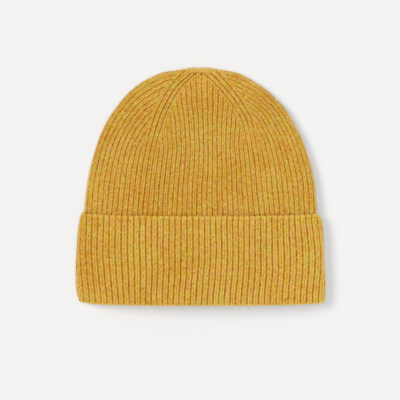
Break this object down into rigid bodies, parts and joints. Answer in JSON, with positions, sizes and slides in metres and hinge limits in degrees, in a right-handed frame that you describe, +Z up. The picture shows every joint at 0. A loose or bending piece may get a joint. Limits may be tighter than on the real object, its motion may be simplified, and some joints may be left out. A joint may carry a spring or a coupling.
{
  "type": "cuffed beanie",
  "caption": "Soft ribbed knit beanie with a deep turned-up cuff and a crown drawn in by decrease bands, lying flat on its back, open at the mouth.",
  "frame": {"origin": "middle of the lying beanie's outline, at the height of the surface it lies on", "axes": "+X across the beanie to the viewer's right in the lying view, +Y from the mouth to the top of the crown, +Z up from the surface through the front"},
  "size_m": [0.2296, 0.2189, 0.0258],
  "materials": {
    "melange_knit": "matte ribbed mustard melange yarn"
  },
  "bodies": {
    "root": {"crown": "melange_knit", "cuff": "melange_knit"}
  },
  "joints": []
}
